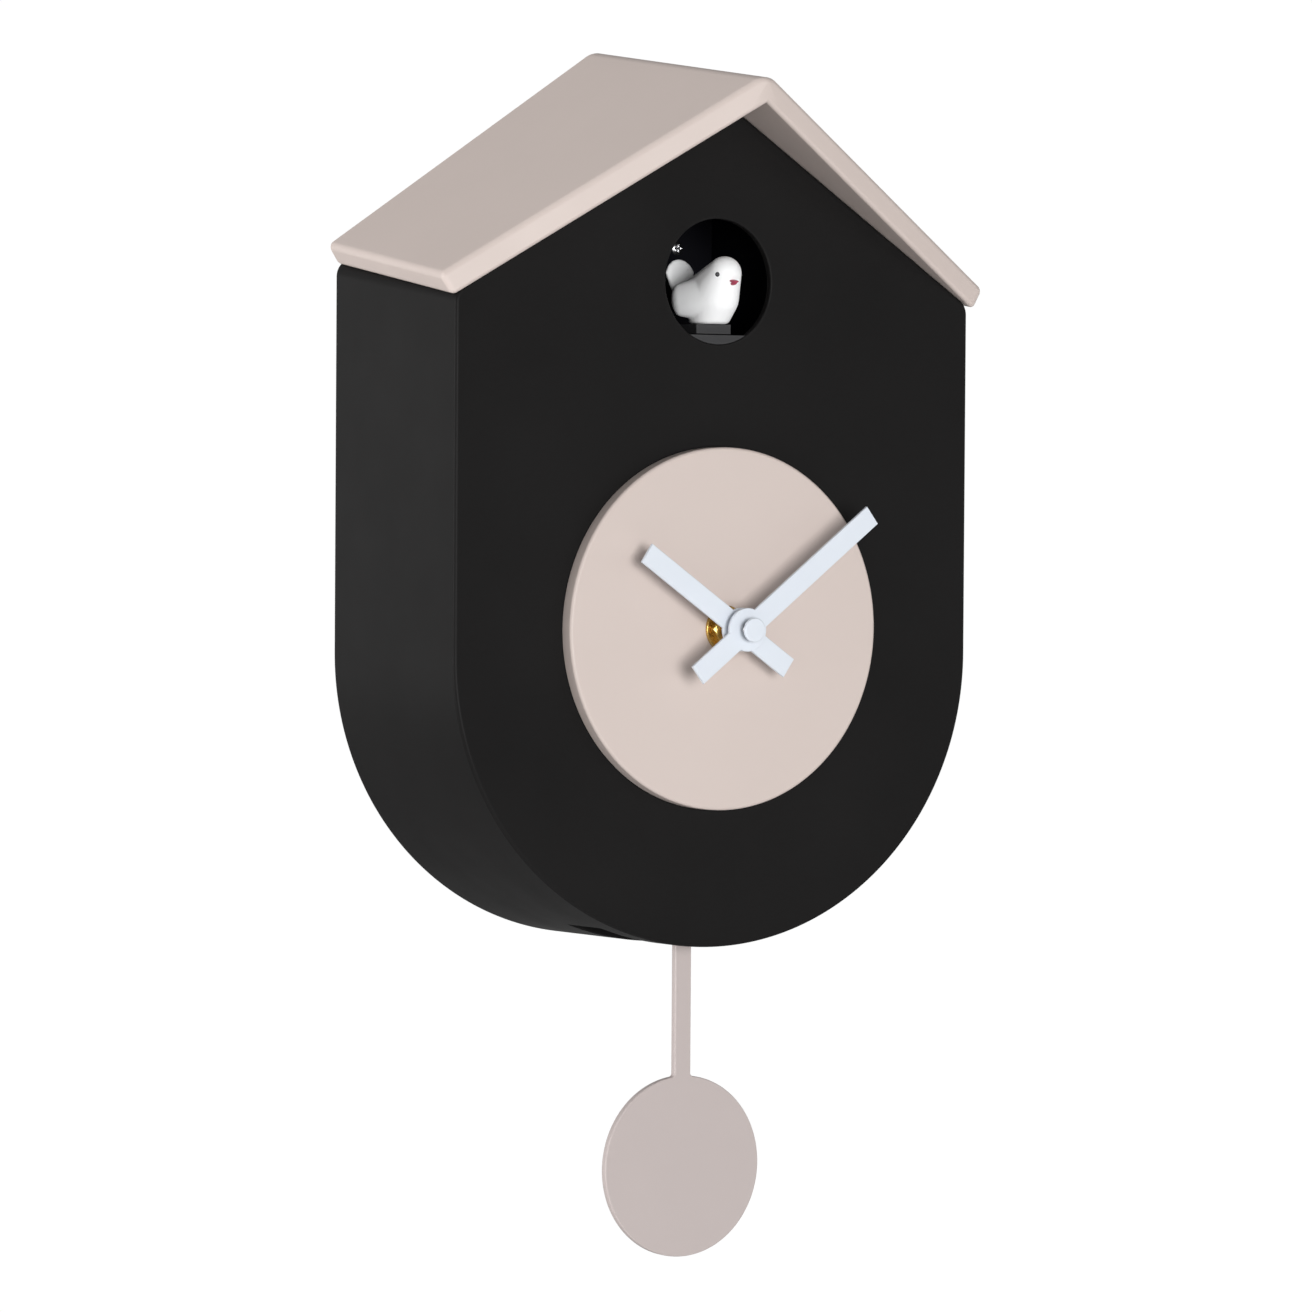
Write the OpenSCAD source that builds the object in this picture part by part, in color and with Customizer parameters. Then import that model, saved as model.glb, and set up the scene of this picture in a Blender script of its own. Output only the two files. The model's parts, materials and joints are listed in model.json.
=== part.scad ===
// Wall-hung quartz cuckoo clock: an arch-bottomed case under a tilted gable roof, a plain round dial,
// a bird on a motor-driven slide behind a round window, and a flat swinging pendulum.
// Millimetres. +Z up, +X to the right of a person facing the clock, front towards -Y.
// The origin is the centre of the keyhole in the hanger plate, on the plane that meets the wall.
// Inside the modules, positions are counted from the centre of the case's arch on its front face.

/* [Case] */
// Width of the case
case_w = 207.8; // [200:0.1:215]
// Depth of the case from its front face to the wall
case_d = 80.5; // [80:0.5:84]
// Height of the arch below its centre
arch_h = 99.5; // [97:0.1:104]
// Thickness of the moulded case walls
wall = 2.5; // [2:0.1:2.6]
// Width of the slot for the pendulum in the underside
slot_w = 76; // [60:1:80]
// Height of the keyhole above the arch centre
hang_z = 160; // [158:1:164]

/* [Roof] */
// Slope of each side of the roof, in degrees
roof_pitch = 33.4; // [31:0.1:34.5]
// Fall of the ridge towards the front, in degrees
roof_fall = 7.5; // [5:0.1:9]
// Height of the gable's peak above the arch centre, at the front face
apex_z = 190.5; // [187:0.5:193]
// Thickness of the roof
roof_t = 8.4; // [6:0.1:9]
// Width over the eaves at their front ends
roof_w = 216; // [213:0.5:219]
// Width over the eaves at the wall
roof_back_w = 211; // [211:0.5:216]
// How far the ridge stands out past the front face
ridge_reach = 30; // [20:0.5:34]
// How far the eaves stand out past the front face
eave_reach = 1; // [0.5:0.5:8]

/* [Dial and hands] */
// Radius of the dial disc
dial_r = 61.8; // [56:0.1:64]
// Thickness of the dial disc
dial_t = 5.6; // [4:0.1:5.8]
// Height of the dial centre above the arch centre
dial_z = 9.3; // [8:0.1:11]
// Length of the minute hand from the centre
minute_len = 64; // [50:1:68]
// Length of the minute hand's tail
minute_tail = 25; // [15:1:28]
// Length of the hour hand from the centre
hour_len = 46; // [36:1:48]
// Length of the hour hand's tail
hour_tail = 23.5; // [15:0.5:25]
// Width of the hands
hand_w = 7.4; // [5:0.1:8]
// Minutes past ten that the hands show
minutes = 8.75; // [0:0.25:59]

/* [Window and bird] */
// Radius of the round window
window_r = 21.4; // [21:0.1:23]
// Height of the window's centre above the arch centre
window_z = 127.4; // [126:0.1:128]
// Radius of the bird's head
head_r = 5.8; // [5:0.1:6]

/* [Pendulum] */
// Radius of the pendulum's disc
bob_r = 31.2; // [26:0.1:34]
// Height of the pendulum's pivot above the arch centre
pivot_z = -27; // [-28:0.5:-26]
// Distance from the pivot to the disc's centre
bob_drop = 149.3; // [140:0.1:155]
// Width of the pendulum's rod
rod_w = 6.5; // [5:0.1:7]

/* [Hidden] */
$fn = 96;

ARCH_STEPS = 72;
TALL = 300;
GAP = 0.2;
RUNNING = 0.05;
SCREW_R = 1.25;
SCREW_HEAD_R = 2.6;

// Back cover: a plate set in from the rim of the case.
cover_y = 72;
cover_t = 2.5;
cover_back = cover_y + cover_t;
rim_gap = wall + 0.3;
cover_posts = [[-78, 108], [78, 108], [-84, -30], [84, -30]];
roof_posts = [[-60, 22], [60, 22], [-60, 60], [60, 60]];

// Battery bay: three cells lying side to side, one above the other.
cell_r = 13.1;
cell_l = 50;
cell_pitch = 27;
bay_x = 30;
bay_z0 = -82;
bay_z1 = bay_z0 + 3 * cell_pitch;
bay_y0 = 46.5;
bay_wall = 1.5;
door_hinge_y = 77;
door_hinge_z = bay_z0 - 5.5;
hinge_pin_r = 1.2;

// Speaker and controls on the back cover.
speaker_z = 64;
speaker_r = 28.5;
control_x = 60;
volume_z = 70;
switch_z = 46;
chime_z = 93;
board_y = 66;
board_t = 1.6;

// Movement: a square housing behind the dial, its wheels stacked in layers from front to back.
move_half = 28;
move_y0 = wall + 1;
move_y1 = 17.5;
move_wall = 1.5;
bush_r = 4;
tube_r = 2.5;
arbor_r = 1.5;
pivot_r = 0.5;
motion_distance = 12;
set_angle = 37.5;
third_angle = 225;
fourth_angle = 330;
third_pos = [13.5 * cos(third_angle), 13.5 * sin(third_angle)];
fourth_pos = third_pos + [10.2 * cos(fourth_angle), 10.2 * sin(fourth_angle)];
motion_pos = [0, motion_distance];
set_pos = motion_pos + [motion_distance * cos(set_angle), motion_distance * sin(set_angle)];
rotor_pos = [15, -15];
minute_turn = minutes * 6;
hour_turn = 300 + minutes / 2;
nut_y = -dial_t - 1;
hour_hand_y = -15.8;
minute_hand_y = -19.8;
hand_t = 1.6;

// Pendulum: hangs behind the movement and passes through the slot.
blade_y = 19.2;
blade_t = 2.6;
magnet_z = -62;
bob_z = pivot_z - bob_drop;

// Bird and its drive below the chamber floor.
chamber_x = 30;
chamber_y1 = 50;
chamber_z1 = 154;
floor_z = 109.3;
floor_t = 1.7;
perch_z = 113;
body_z = 121.5;
rod_z = 102.5;
rod_x_off = 6;
rack_line_z = 97.2;
gear_module = 1;
rack_gear_teeth = 20;
motor_teeth = 10;
rack_gear_pos = [32, rack_line_z - gear_module * rack_gear_teeth / 2];
motor_pos = rack_gear_pos - [gear_module * (rack_gear_teeth + motor_teeth) / 2, 0];

// ---- helpers ----

// From the arch centre on the front face to the keyhole on the wall plane.
module hung() {
    translate([0, -case_d, -hang_z]) children();
}

module at(x, z) {
    translate([x, 0, z]) children();
}

module block(x, y, z) {
    translate([x[0], y[0], z[0]]) cube([x[1] - x[0], y[1] - y[0], z[1] - z[0]]);
}

// Extrudes a front-view outline from depth y[0] to depth y[1].
module along_y(y) {
    translate([0, y[1], 0]) rotate([90, 0, 0]) linear_extrude(height = y[1] - y[0]) children();
}

module rod_y(r, y) {
    translate([0, y[0], 0]) rotate([-90, 0, 0]) cylinder(r = r, h = y[1] - y[0]);
}

module rod_x(r, x) {
    translate([x[0], 0, 0]) rotate([0, 90, 0]) cylinder(r = r, h = x[1] - x[0]);
}

module ring_y(r_out, r_in, y) {
    difference() {
        rod_y(r_out, y);
        rod_y(r_in, [y[0] - 1, y[1] + 1]);
    }
}

// Pan-head screw along Y with its head at y_head, pointing towards the front.
module screw(y_head, length) {
    rod_y(SCREW_HEAD_R, [y_head, y_head + 1.6]);
    rod_y(SCREW_R, [y_head - length, y_head]);
}

// Front outline of the case below the roof, shrunk by inset: straight sides and a half-ellipse.
module case_outline(inset) {
    rx = case_w / 2 - inset;
    rz = arch_h - inset;
    arch = [for (i = [0:ARCH_STEPS]) let (a = 180 + 180 * i / ARCH_STEPS) [rx * cos(a), rz * sin(a)]];
    polygon(concat(arch, [[rx, TALL], [-rx, TALL]]));
}

// The space under the roof's two tilted planes, lowered by drop.
module under_roof(drop) {
    fall_z = TALL * tan(roof_pitch);
    translate([0, 0, apex_z]) rotate([roof_fall, 0, 0]) along_y([-TALL, TALL])
        polygon([[0, -drop], [TALL, -drop - fall_z], [TALL, -3 * TALL], [-TALL, -3 * TALL],
            [-TALL, -drop - fall_z]]);
}

module case_block(inset, y) {
    intersection() {
        along_y(y) case_outline(inset);
        under_roof(inset);
    }
}

// Spur gear outline with thin, flat-sided teeth; tooth 0 is centred on the angle phase.
module gear_outline(teeth, m, phase) {
    step = 360 / teeth;
    tip = m * teeth / 2 + 0.8 * m;
    root = m * teeth / 2 - 1.1 * m;
    profile = [[-0.27, root], [-0.12, tip], [0.12, tip], [0.27, root]];
    polygon([for (i = [0:teeth - 1]) for (p = profile)
        let (a = phase + (i + p[0]) * step) p[1] * [cos(a), sin(a)]]);
}

module gear_y(teeth, m, phase, y) {
    along_y(y) gear_outline(teeth, m, phase);
}

// Straight bar hand with a tail and a round hub, set at an angle clockwise from twelve.
module bar_hand(length, tail, turn, y, hole_r) {
    at(0, dial_z) rotate([0, turn, 0]) difference() {
        union() {
            block([-hand_w / 2, hand_w / 2], y, [-tail, length]);
            rod_y(hand_w, y);
        }
        rod_y(hole_r, [y[0] - 1, y[1] + 1]);
    }
}

// ---- case ----

// Front, sides and underside in one moulding, with screw posts inside.
module case_shell() {
    color([0.12, 0.12, 0.13]) hung() difference() {
        union() {
            difference() {
                case_block(0, [0, case_d]);
                case_block(wall, [wall, case_d + 1]);
            }
            for (p = cover_posts) at(p[0], p[1]) rod_y(4, [wall - 0.5, cover_y]);
        }
        for (p = cover_posts) at(p[0], p[1]) rod_y(SCREW_R + RUNNING, [cover_y - 12, cover_y + 1]);
        at(0, window_z) rod_y(window_r, [-1, wall + 1]);
        at(0, dial_z) rod_y(bush_r + GAP, [-1, wall + 1]);
        block([-slot_w / 2, slot_w / 2], [12, 34], [-arch_h - 1, -arch_h + 25]);
        for (p = roof_posts) translate([p[0], p[1], 100]) cylinder(r = SCREW_R + GAP, h = 80);
    }
}

// Sand-coloured folded slab; its front edge sweeps back from the ridge to the eaves, which spread a little
// towards the front.
module roof() {
    front = roof_w / 2;
    back = roof_back_w / 2;
    side = roof_w;
    drop = side * tan(roof_pitch);
    up = roof_t / cos(roof_pitch);
    color([0.80, 0.74, 0.70]) hung() difference() {
        intersection() {
            translate([0, 0, apex_z + 0.05]) rotate([roof_fall, 0, 0]) along_y([-TALL, TALL])
                polygon([[0, up], [side, up - drop], [side, -drop], [0, 0], [-side, -drop],
                    [-side, up - drop]]);
            translate([0, 0, -TALL]) linear_extrude(height = 3 * TALL)
                polygon([[0, -ridge_reach], [front, -eave_reach], [back, case_d], [-back, case_d],
                    [-front, -eave_reach]]);
        }
        for (p = roof_posts) translate([p[0], p[1], 100])
            cylinder(r = SCREW_R + RUNNING, h = roof_post_top(p) - 100);
    }
}

// Height of the roof's underside above the arch centre at a point of the plan.
function roof_under(p) = apex_z - abs(p[0]) * tan(roof_pitch) / cos(roof_fall) + p[1] * tan(roof_fall);
function roof_post_top(p) = roof_under(p) + 4;

// Eight equal pan-head screws: four hold the back cover and four hold the roof from inside.
module case_screws() {
    color("silver") hung() {
        for (p = cover_posts) at(p[0], p[1]) screw(cover_back, 12);
        for (p = roof_posts) translate([p[0], p[1], roof_post_top(p) - 12.3])
            rotate([-90, 0, 0]) screw(0, 12);
    }
}

module dial_disc() {
    color([0.83, 0.78, 0.75]) hung() at(0, dial_z) ring_y(dial_r, bush_r + GAP, [-dial_t, 0]);
}

// ---- back cover, its controls and the battery bay ----

module back_cover() {
    bay_out = bay_x + bay_wall;
    color([0.10, 0.10, 0.11]) hung() difference() {
        union() {
            case_block(rim_gap, [cover_y, cover_back]);
            block([-bay_out, bay_out], [bay_y0 - bay_wall, cover_y + 0.5],
                [bay_z0 - bay_wall, bay_z1 + bay_wall]);
            for (x = [-17, 17]) at(x, hang_z) rod_y(4, [cover_back - 0.5, case_d - 1.5]);
            for (x = [-32, 32]) {
                block([x - 2, x + 2], [cover_back - 0.5, door_hinge_y],
                    [door_hinge_z - 2.4, door_hinge_z + 2.4]);
                translate([0, door_hinge_y, door_hinge_z]) rod_x(2.4, [x - 2, x + 2]);
            }
            for (x = [-15, 15]) at(x, magnet_z) rod_y(3, [35.6, bay_y0 - bay_wall + 0.5]);
            for (z = [40, 82]) at(80, z) rod_y(3, [board_y + board_t, cover_y + 0.5]);
        }
        block([-bay_x, bay_x], [bay_y0, cover_back + 1], [bay_z0, bay_z1]);
        translate([0, door_hinge_y, door_hinge_z]) rod_x(hinge_pin_r + RUNNING, [-40, 40]);
        for (x = [-17, 17]) at(x, hang_z) rod_y(SCREW_R + RUNNING, [cover_y + 1, case_d]);
        for (p = cover_posts) at(p[0], p[1]) rod_y(SCREW_R + RUNNING, [cover_y - 1, cover_back + 1]);
        for (i = [-4:4]) at(i * 5.2, speaker_z)
            block([-1.3, 1.3], [cover_y - 1, cover_back + 1], [-grille_half(i), grille_half(i)]);
        at(set_pos[0], dial_z + set_pos[1]) rod_y(arbor_r + RUNNING, [cover_y - 1, cover_back + 1]);
        at(control_x, volume_z) rod_y(2 + RUNNING, [cover_y - 1, cover_back + 1]);
        at(control_x, chime_z) rod_y(3.6, [cover_y - 1, cover_back + 1]);
        at(control_x, switch_z) block([-7.5, 7.5], [cover_y - 1, cover_back + 1], [-2, 2]);
    }
}

function grille_half(i) = sqrt(pow(24, 2) - pow(i * 5.2, 2));

// Steel plate whose keyhole drops over a screw in the wall.
module hanger_plate() {
    color([0.75, 0.76, 0.78]) hung() at(0, hang_z) difference() {
        along_y([case_d - 1.5, case_d]) difference() {
            polygon([[-22, -9], [-19, -12], [19, -12], [22, -9], [22, 13], [19, 16], [-19, 16],
                [-22, 13]]);
            translate([-2.2, 0]) square([4.4, 9]);
            translate([0, 9]) circle(r = 2.2);
        }
        rod_y(4.5, [case_d - 3, case_d + 1]);
        for (x = [-17, 17]) at(x, 0) rod_y(SCREW_R + GAP, [case_d - 3, case_d + 1]);
        for (x = [-17, 17]) at(x, 0) rod_y(SCREW_HEAD_R + GAP, [case_d - 0.9, case_d + 1]);
    }
}

module hanger_screws() {
    color("silver") hung() for (x = [-17, 17]) at(x, hang_z) {
        rod_y(SCREW_HEAD_R, [case_d - 0.9, case_d - 0.1]);
        rod_y(SCREW_R, [case_d - 7, case_d - 0.9]);
    }
}

// Door of the battery bay: a plate with a barrel and two hinge pins along its lower edge.
module battery_door() {
    color([0.10, 0.10, 0.11]) hung() {
        difference() {
            block([-33, 33], [75, 77], [door_hinge_z, bay_z1 + 3]);
            for (s = [-1, 1]) block([s * 32 - 2.5, s * 32 + 2.5], [74, 78],
                [door_hinge_z - 1, door_hinge_z + 2.8]);
        }
        translate([0, door_hinge_y, door_hinge_z]) {
            rod_x(2, [-29.5, 29.5]);
            rod_x(hinge_pin_r, [-33.5, 33.5]);
        }
        block([-8, 8], [75, 77], [bay_z1 + 3, bay_z1 + 6]);
        for (z = [4, 7, 10]) block([-10, 10], [77, 77.8], [bay_z1 - z, bay_z1 - z + 1]);
    }
}

// C-size cell lying along X; the direction alternates from cell to cell.
module cell(i) {
    side = i % 2 == 0 ? 1 : -1;
    color([0.20, 0.32, 0.45]) hung()
        translate([0, bay_y0 + 0.4 + cell_r, bay_z0 + cell_pitch * (i + 0.5)]) {
            rod_x(cell_r, [-cell_l / 2 + 1.5 * (1 - side) / 2, cell_l / 2 - 1.5 * (1 + side) / 2]);
            scale([side, 1, 1]) rod_x(3.4, [cell_l / 2 - 1.5, cell_l / 2]);
        }
}

// Coil contacts for the flat ends of the cells, drawn as stacked rings.
module contact_springs() {
    color("silver") hung() for (i = [0:2]) {
        side = i % 2 == 0 ? -1 : 1;
        translate([side * (bay_x - 2.4), bay_y0 + 0.4 + cell_r, bay_z0 + cell_pitch * (i + 0.5)])
            rotate([0, 90, 0]) for (k = [-1:1])
                translate([0, 0, k * 1.5]) rotate_extrude() translate([4.5 - side * k, 0])
                    circle(r = 0.5, $fn = 16);
    }
}

module contact_plates() {
    color("silver") hung() for (i = [0:2]) {
        side = i % 2 == 0 ? 1 : -1;
        x = side * (bay_x - 4.4);
        translate([x, bay_y0 + 0.4 + cell_r, bay_z0 + cell_pitch * (i + 0.5)])
            block([min(0, side * 4.2), max(0, side * 4.2)], [-6, 6], [-6, 6]);
    }
}

// ---- speaker and electronics ----

module speaker_basket() {
    color([0.25, 0.25, 0.27]) hung() at(0, speaker_z) translate([0, cover_y - 0.1, 0])
        rotate([90, 0, 0]) rotate_extrude()
            polygon([[25.5, 0], [speaker_r, 0], [speaker_r, 1.5], [26.5, 2], [14, 13], [11, 13],
                [11, 12], [13.5, 12], [25.5, 1.5]]);
}

module speaker_cone() {
    color([0.15, 0.15, 0.16]) hung() at(0, speaker_z) translate([0, cover_y - 0.9, 0])
        rotate([90, 0, 0]) rotate_extrude()
            polygon([[0, 7], [7, 7], [24.5, 0.5], [24.9, 1.2], [7.4, 8], [0, 8]]);
}

module speaker_magnet() {
    color([0.3, 0.3, 0.32]) hung() at(0, speaker_z) rod_y(14, [50, 58.7]);
}

module main_board() {
    color([0.10, 0.35, 0.18]) hung() {
        block([control_x - 18, control_x + 26], [board_y, board_y + board_t], [34, 102]);
        for (z = [38, 50, 62]) block([46, 52], [board_y - 3, board_y], [z, z + 6]);
        at(74, 60) rod_y(4, [board_y - 9, board_y]);
    }
}

module volume_pot() {
    color([0.35, 0.35, 0.38]) hung() at(control_x, volume_z) difference() {
        block([-6, 6], [board_y + board_t, 71.5], [-6, 6]);
        rod_y(2 + RUNNING, [board_y + board_t + 0.8, 72]);
    }
}

module volume_knob() {
    color([0.16, 0.16, 0.17]) hung() at(control_x, volume_z) {
        rod_y(2, [board_y + board_t + 1, 75.5]);
        difference() {
            gear_y(24, 14 / 24, 0, [75.2, 79.4]);
            block([-0.6, 0.6], [78.8, 80], [1.5, 6]);
        }
    }
}

module switch_body() {
    color([0.35, 0.35, 0.38]) hung() at(control_x, switch_z)
        difference() {
            block([-9, 9], [board_y + board_t, 71.5], [-4, 4]);
            block([-6.5, 6.5], [69, 72], [-2.2, 2.2]);
        }
}

module mode_slider() {
    color([0.16, 0.16, 0.17]) hung() at(control_x, switch_z) {
        block([-2, 2], [69.3, 78], [-1.5, 1.5]);
        block([-3, 3], [75.2, 77], [-1.9, 1.9]);
    }
}

module chime_switch() {
    color([0.35, 0.35, 0.38]) hung() at(control_x, chime_z)
        block([-3, 3], [board_y + board_t, 68.9], [-3, 3]);
}

module chime_button() {
    color([0.16, 0.16, 0.17]) hung() at(control_x, chime_z) {
        rod_y(3.5, [70.3, 77.5]);
        rod_y(4.8, [70.3, 71.8]);
    }
}

// ---- movement ----

// Front half of the movement housing: a tray with the stud for the motion wheel.
module movement_case() {
    color([0.22, 0.22, 0.24]) hung() at(0, dial_z) difference() {
        union() {
            difference() {
                block([-move_half, move_half], [move_y0, move_y1 - move_wall - GAP],
                    [-move_half, move_half]);
                block([-move_half + move_wall, move_half - move_wall],
                    [move_y0 + move_wall, move_y1], [-move_half + move_wall, move_half - move_wall]);
            }
            at(motion_pos[0], motion_pos[1]) rod_y(1.2, [move_y0 + 0.5, 8.8]);
        }
        rod_y(bush_r + 0.02, [move_y0 - 1, move_y0 + move_wall + 1]);
        for (p = [third_pos, fourth_pos, rotor_pos])
            at(p[0], p[1]) rod_y(pivot_r + RUNNING, [move_y0 + 0.4, move_y0 + 3]);
    }
}

module movement_cover() {
    y = [move_y1 - move_wall, move_y1];
    color([0.22, 0.22, 0.24]) hung() at(0, dial_z) difference() {
        block([-move_half, move_half], y, [-move_half, move_half]);
        rod_y(0.8 + RUNNING, [y[0] - 1, y[1] + 1]);
        for (p = [third_pos, fourth_pos, rotor_pos])
            at(p[0], p[1]) rod_y(pivot_r + RUNNING, [y[0] - 1, y[1] + 1]);
        at(set_pos[0], set_pos[1]) rod_y(arbor_r + RUNNING, [y[0] - 1, y[1] + 1]);
    }
}

module movement_gasket() {
    color([0.08, 0.08, 0.08]) hung() at(0, dial_z) ring_y(11, bush_r + GAP, [wall, wall + 1]);
}

// Brass tube that carries the movement through the case and the dial.
module threaded_bush() {
    color([0.75, 0.60, 0.25]) hung() at(0, dial_z) ring_y(bush_r, tube_r + RUNNING, [-11.5, 5]);
}

module dial_washer() {
    color([0.75, 0.60, 0.25]) hung() at(0, dial_z) ring_y(8, bush_r + GAP, [-dial_t - 1, -dial_t]);
}

module hex_nut() {
    color([0.75, 0.60, 0.25]) hung() at(0, dial_z) difference() {
        translate([0, nut_y, 0]) rotate([90, 0, 0]) cylinder(r = 7, h = 3, $fn = 6);
        rod_y(bush_r + 0.02, [nut_y - 4, nut_y + 1]);
    }
}

// Hour wheel on its tube; the hour hand presses on the tube's front end.
module hour_wheel() {
    color([0.9, 0.9, 0.88]) hung() at(0, dial_z) difference() {
        union() {
            gear_y(32, 0.6, 90, [5.3, 6.5]);
            rod_y(tube_r, [hour_hand_y, 5.5]);
        }
        rod_y(arbor_r + RUNNING, [hour_hand_y - 1, 8]);
    }
}

module hour_hand() {
    color([0.93, 0.94, 0.95]) hung()
        bar_hand(hour_len, hour_tail, hour_turn, [hour_hand_y, hour_hand_y + hand_t], tube_r + 0.02);
}

// Centre arbor with the cannon pinion and the centre wheel.
module minute_arbor() {
    color([0.78, 0.78, 0.80]) hung() at(0, dial_z) {
        rod_y(arbor_r, [minute_hand_y - 3.2, 15.7]);
        rod_y(0.8, [15.5, 17]);
        gear_y(8, 0.75, 90, [6.9, 8.5]);
        gear_y(48, 0.5, third_angle, [9.3, 10.3]);
    }
}

module minute_hand() {
    color([0.93, 0.94, 0.95]) hung() bar_hand(minute_len, minute_tail, minute_turn,
        [minute_hand_y, minute_hand_y + hand_t], arbor_r + 0.02);
}

// Round cap nut on the threaded end of the minute arbor.
module cap_nut() {
    color([0.93, 0.94, 0.95]) hung() at(0, dial_z) difference() {
        rod_y(4.2, [minute_hand_y - 3.7, minute_hand_y - 1]);
        rod_y(arbor_r + 0.02, [minute_hand_y - 3.22, minute_hand_y]);
    }
}

// Wheel and pinion that turn the hour wheel at a twelfth of the minute arbor's speed.
module motion_wheel() {
    color([0.9, 0.9, 0.88]) hung() at(motion_pos[0], dial_z + motion_pos[1]) difference() {
        union() {
            gear_y(24, 0.75, 270 + 180 / 24, [7.1, 8.3]);
            gear_y(8, 0.6, 270 + 180 / 8, [5.3, 7.3]);
        }
        rod_y(1.2 + RUNNING, [4, 10]);
    }
}

// Train wheel: a large wheel, a pinion that meshes with the wheel before it, and an arbor.
module train_wheel(pos, pinion, pinion_phase, wheel, wheel_phase) {
    color([0.9, 0.9, 0.88]) hung() at(pos[0], dial_z + pos[1]) {
        gear_y(pinion[0], pinion[1], pinion_phase, pinion[2]);
        gear_y(wheel[0], wheel[1], wheel_phase, wheel[2]);
        rod_y(0.6, [5.2, 15.8]);
        rod_y(pivot_r, [4, 17]);
    }
}

module third_wheel() {
    train_wheel(third_pos, [6, 0.5, [9.1, 11.6]], third_angle + 180 + 30,
        [45, 0.4, [11.4, 12.4]], fourth_angle);
}

module fourth_wheel() {
    train_wheel(fourth_pos, [6, 0.4, [11.2, 13.4]], fourth_angle + 180 + 30,
        [40, 0.35, [13.2, 14.2]], 0);
}

module rotor() {
    color([0.45, 0.45, 0.48]) hung() at(rotor_pos[0], dial_z + rotor_pos[1]) {
        rod_y(3, [6.5, 10.5]);
        rod_y(0.6, [5.2, 15.8]);
        rod_y(pivot_r, [4, 17]);
        gear_y(8, 0.3, 0, [13.2, 14.2]);
    }
}

module stator() {
    color([0.6, 0.6, 0.63]) hung() at(0, dial_z) difference() {
        block([9, 26], [8, 9], [-24, -8.7]);
        at(rotor_pos[0], rotor_pos[1]) rod_y(3.5, [7, 10]);
    }
}

module stepper_coil() {
    color([0.72, 0.42, 0.22]) hung() translate([21.5, 10.5, dial_z - 8.5]) {
        cylinder(r = 4, h = 20);
        for (z = [0, 19]) translate([0, 0, z]) cylinder(r = 4.8, h = 1);
    }
}

// Shaft that reaches from the motion wheel to the knob on the back.
module set_shaft() {
    color([0.9, 0.9, 0.88]) hung() at(set_pos[0], dial_z + set_pos[1]) {
        rod_y(arbor_r, [5.6, 76.5]);
        gear_y(8, 0.75, set_angle + 180 + 180 / 8, [6.9, 8.5]);
    }
}

module set_knob() {
    color([0.16, 0.16, 0.17]) hung() at(set_pos[0], dial_z + set_pos[1]) difference() {
        gear_y(20, 13 / 20, 0, [75.2, 79.4]);
        rod_y(arbor_r + 0.02, [75, 77]);
    }
}

// ---- pendulum ----

module pendulum_bracket() {
    top = dial_z - move_half;
    color([0.22, 0.22, 0.24]) hung() difference() {
        union() {
            block([-8, 8], [12, 29], [top - 3, top - GAP]);
            for (y = [[12, 16], [25, 29]]) block([-5, 5], y, [pivot_z - 4, top - 2.9]);
            block([-8, 8], [move_y1 + GAP, 29], [top - 3, top + 8]);
        }
        at(0, pivot_z) rod_y(1.5, [11, 30]);
    }
}

module pendulum_pin() {
    color("silver") hung() at(0, pivot_z) rod_y(1.5 - 0.01, [11.5, 29.5]);
}

// Hub on the pivot pin with a hook for the pendulum.
module pendulum_hanger() {
    color([0.22, 0.22, 0.24]) hung() difference() {
        union() {
            at(0, pivot_z) rod_y(4, [16.6, 24.4]);
            block([-4.5, 4.5], [16.6, blade_y - 0.05], [pivot_z - 18, pivot_z]);
            at(0, pivot_z - 12) rod_y(1.45, [18, 23]);
        }
        at(0, pivot_z) rod_y(1.5 + RUNNING, [16, 25]);
    }
}

// Rod and disc in one flat moulding.
module pendulum_blade() {
    y = [blade_y, blade_y + blade_t];
    color([0.80, 0.74, 0.72]) hung() difference() {
        union() {
            block([-rod_w / 2, rod_w / 2], y, [bob_z, pivot_z - 5]);
            at(0, bob_z) rod_y(bob_r, y);
            at(0, pivot_z - 12) rod_y(5, y);
        }
        at(0, pivot_z - 12) rod_y(1.5, [y[0] - 1, y[1] + 1]);
    }
}

module drive_magnet() {
    color([0.5, 0.5, 0.52]) hung() at(0, magnet_z)
        rod_y(3, [blade_y + blade_t, blade_y + blade_t + 3]);
}

// Board with the flat coil that keeps the pendulum swinging.
module coil_board() {
    color([0.10, 0.35, 0.18]) hung() {
        block([-20, 20], [34, 35.6], [magnet_z - 12, magnet_z + 12]);
        at(0, magnet_z) ring_y(8, 2.5, [27, 34]);
    }
}

// ---- bird and its drive ----

// Open-fronted black box behind the window.
module bird_chamber() {
    color([0.03, 0.03, 0.04]) hung() difference() {
        block([-chamber_x, chamber_x], [wall + 0.1, chamber_y1], [floor_z - floor_t, chamber_z1]);
        block([-chamber_x + 1.5, chamber_x - 1.5], [wall - 1, chamber_y1 - 1.5],
            [floor_z - floor_t - 1, chamber_z1 - 1.5]);
        for (s = [-1, 1]) at(s * 14, 140) rod_y(SCREW_R + GAP, [chamber_y1 - 3, chamber_y1 + 1]);
    }
}

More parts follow.
